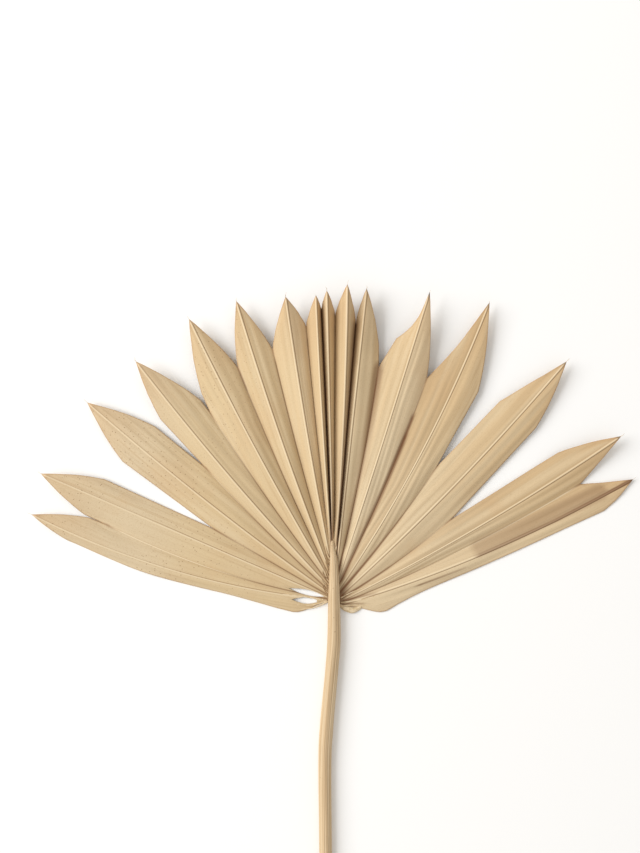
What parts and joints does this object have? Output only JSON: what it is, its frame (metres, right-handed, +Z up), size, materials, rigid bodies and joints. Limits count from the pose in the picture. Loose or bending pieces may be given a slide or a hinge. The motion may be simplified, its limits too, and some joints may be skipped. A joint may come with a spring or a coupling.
{
  "type": "dried palm spear",
  "caption": "Dried fan-palm leaf: a stiff pleated fan with trimmed pointed segments on a long cut stalk, lying flat, for dry flower arrangements.",
  "frame": {"origin": "middle of the leaf's box, on the surface that it lies on", "axes": "+Y from the cut end of the stalk to the tips of the fan, +Z up out of the surface, from the leaf's upper side to its ribbed underside"},
  "size_m": [0.25, 0.4156, 0.0139],
  "materials": {
    "dried_blade": "matt straw-beige dried leaf with fine lengthwise grain, pale ribs and browned cut edges",
    "dried_stalk": "matt straw-coloured dried stalk with fine lengthwise fibres"
  },
  "bodies": {
    "root": {"fan_blade": "dried_blade", "stalk": "dried_stalk"}
  },
  "joints": []
}
